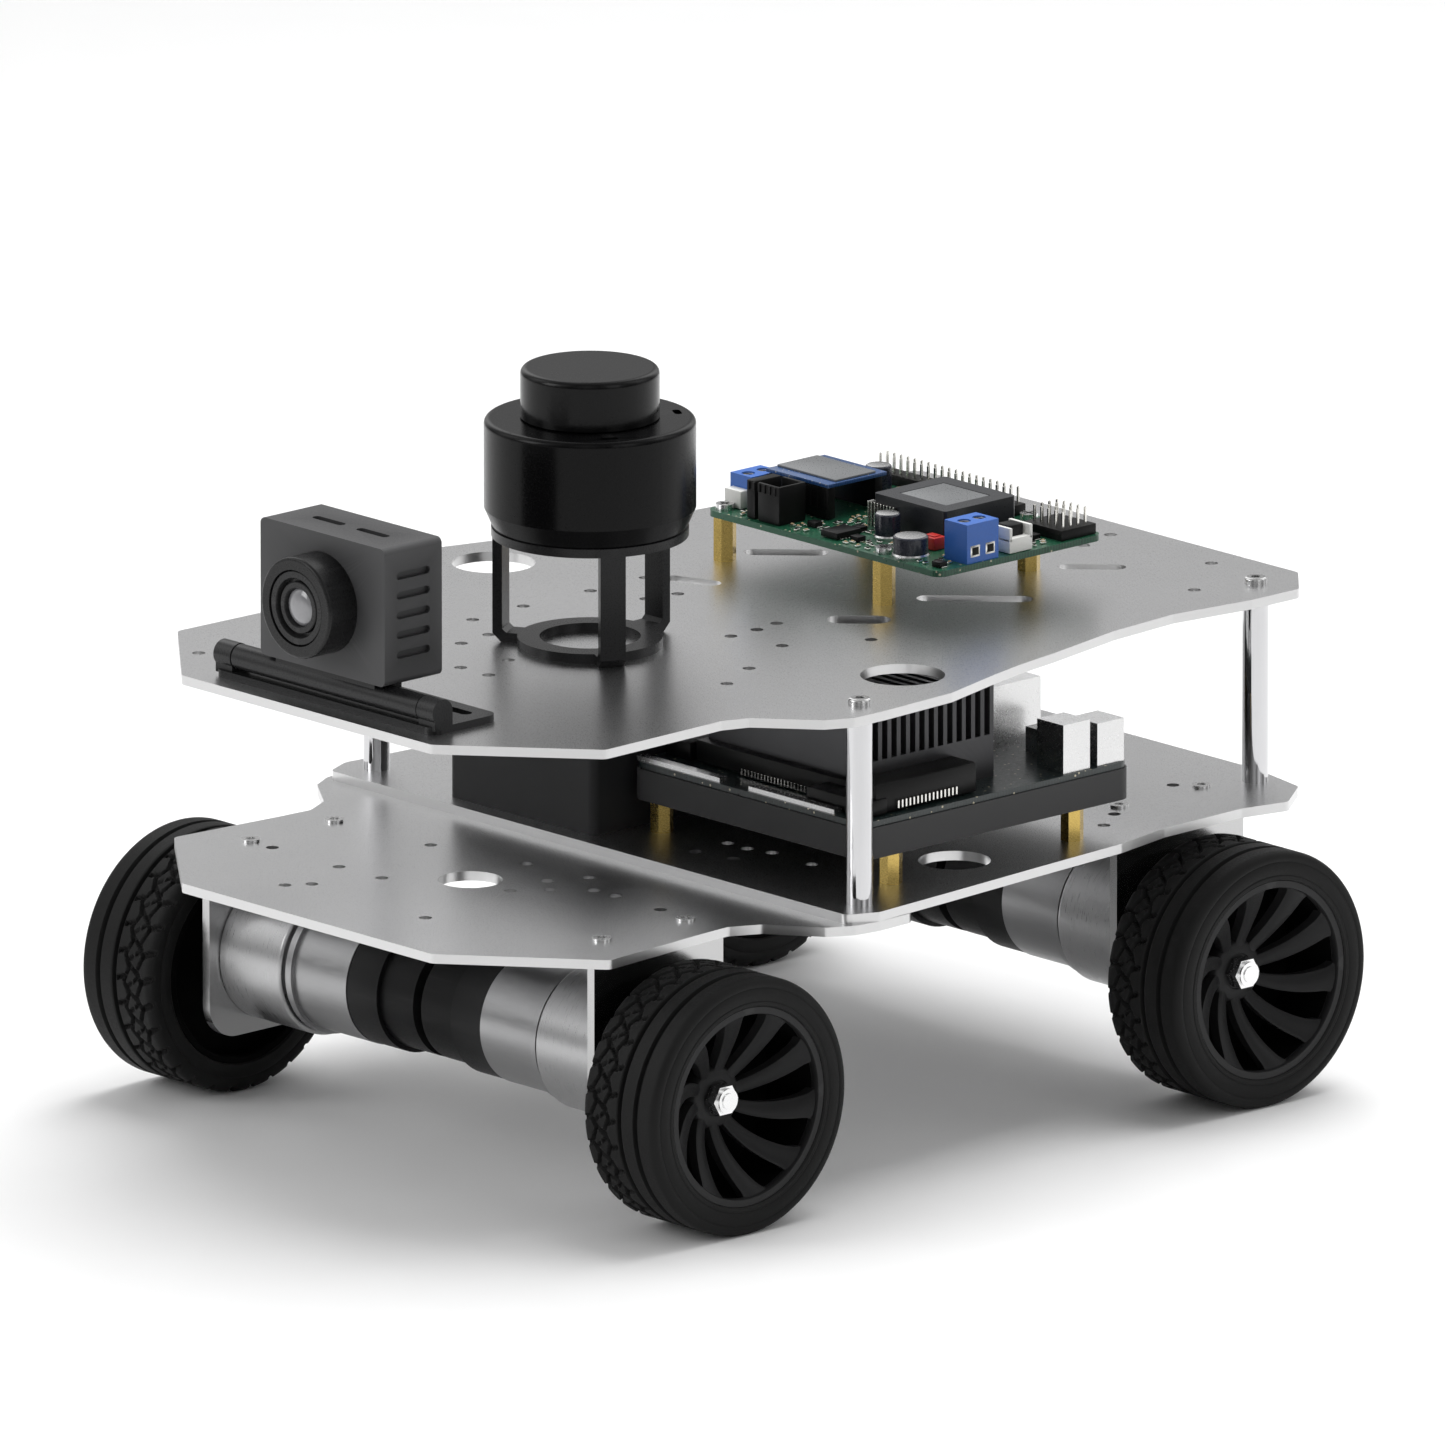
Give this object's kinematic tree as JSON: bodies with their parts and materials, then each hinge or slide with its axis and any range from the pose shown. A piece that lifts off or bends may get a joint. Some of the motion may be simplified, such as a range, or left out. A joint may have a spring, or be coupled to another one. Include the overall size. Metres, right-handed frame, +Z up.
{
  "type": "four-wheel robot car",
  "caption": "Two-deck robot car with sheet decks on round posts, geared motors, spoked rubber-tyred wheels, a spinning scanner on a stand and a tilting camera.",
  "frame": {"origin": "middle of the footprint on the floor, under the middle of the whole length and width", "axes": "+Z up, front of the car faces -Y, +X to the car's left-to-right axle direction, wheels turn about X"},
  "size_m": [0.209, 0.274, 0.1931],
  "materials": {
    "deck_sheet": "satin sheet with bright cut edges",
    "post_metal": "polished",
    "screw_steel": "plated",
    "bracket_metal": "satin",
    "gearbox_metal": "satin",
    "motor_metal": "satin",
    "encoder_plastic": "fine matt",
    "tyre_rubber": "matt rubber",
    "rim_plastic": "moulded satin",
    "hub_metal": "machined",
    "nut_steel": "plated",
    "shaft_steel": "ground",
    "stand_black": "satin black",
    "lidar_plastic": "moulded satin",
    "lidar_cap": "smooth",
    "camera_plastic": "moulded satin",
    "camera_ring": "turned satin",
    "lens_glass": "coated glass look",
    "battery_plastic": "matt",
    "tray_plastic": "matt",
    "brass": "machined",
    "board_dark": "solder resist",
    "sink_metal": "black anodised",
    "port_steel": "plated",
    "board_green": "solder resist",
    "module_dark": "moulded",
    "module_board": "moulded",
    "header_black": "moulded",
    "terminal_blue": "moulded",
    "cap_can": "sleeved can"
  },
  "bodies": {
    "chassis": {"upper_deck": "deck_sheet", "lower_front_plate": "deck_sheet", "lower_rear_plate": "deck_sheet", "deck_posts": "post_metal", "deck_screws": "screw_steel", "motor_brackets": "bracket_metal", "bracket_screws": "screw_steel", "encoder_covers": "encoder_plastic", "lidar_stand": "stand_black", "lidar_housing": "lidar_plastic", "camera_base": "stand_black", "camera_hinge_pin": "stand_black", "battery_pack": "battery_plastic", "tray_standoffs": "brass", "computer_tray": "tray_plastic", "computer_board": "board_dark", "heatsink": "sink_metal", "computer_ports": "port_steel", "board_standoffs": "brass", "control_board": "board_green", "board_screws": "screw_steel", "processor_module": "module_dark", "motion_module": "module_board", "pin_headers": "header_black", "screw_terminals": "terminal_blue", "capacitors": "cap_can", "gearbox_front_left": "gearbox_metal", "motor_can_front_left": "motor_metal", "gearbox_front_right": "gearbox_metal", "motor_can_front_right": "motor_metal", "gearbox_rear_left": "gearbox_metal", "motor_can_rear_left": "motor_metal", "gearbox_rear_right": "gearbox_metal", "motor_can_rear_right": "motor_metal"},
    "wheel_front_left": {"tyre_front_left": "tyre_rubber", "rim_front_left": "rim_plastic", "hub_adaptor_front_left": "hub_metal", "wheel_nut_front_left": "nut_steel", "output_shaft_front_left": "shaft_steel"},
    "wheel_front_right": {"tyre_front_right": "tyre_rubber", "rim_front_right": "rim_plastic", "hub_adaptor_front_right": "hub_metal", "wheel_nut_front_right": "nut_steel", "output_shaft_front_right": "shaft_steel"},
    "wheel_rear_left": {"tyre_rear_left": "tyre_rubber", "rim_rear_left": "rim_plastic", "hub_adaptor_rear_left": "hub_metal", "wheel_nut_rear_left": "nut_steel", "output_shaft_rear_left": "shaft_steel"},
    "wheel_rear_right": {"tyre_rear_right": "tyre_rubber", "rim_rear_right": "rim_plastic", "hub_adaptor_rear_right": "hub_metal", "wheel_nut_rear_right": "nut_steel", "output_shaft_rear_right": "shaft_steel"},
    "scanner_head": {"lidar_head": "lidar_cap"},
    "camera": {"camera_hinge": "stand_black", "camera_shell": "camera_plastic", "camera_barrel": "camera_ring", "camera_lens": "lens_glass"}
  },
  "joints": [
    {"name": "front_left_wheel_spin", "type": "hinge", "parent": "chassis", "child": "wheel_front_left", "pos_m": [-0.0916, -0.0818, 0.0325], "axis": [1, 0, 0], "continuous": true},
    {"name": "front_right_wheel_spin", "type": "hinge", "parent": "chassis", "child": "wheel_front_right", "pos_m": [0.0916, -0.0818, 0.0325], "axis": [1, 0, 0], "continuous": true},
    {"name": "rear_left_wheel_spin", "type": "hinge", "parent": "chassis", "child": "wheel_rear_left", "pos_m": [-0.0916, 0.0938, 0.0325], "axis": [1, 0, 0], "continuous": true},
    {"name": "rear_right_wheel_spin", "type": "hinge", "parent": "chassis", "child": "wheel_rear_right", "pos_m": [0.0916, 0.0938, 0.0325], "axis": [1, 0, 0], "continuous": true},
    {"name": "scanner_spin", "type": "hinge", "parent": "chassis", "child": "scanner_head", "pos_m": [0.0012, -0.04, 0.1807], "axis": [0, 0, 1], "continuous": true},
    {"name": "camera_tilt", "type": "hinge", "parent": "chassis", "child": "camera", "pos_m": [0, -0.1247, 0.1277], "axis": [1, 0, 0], "range_deg": [-12, 40]}
  ]
}
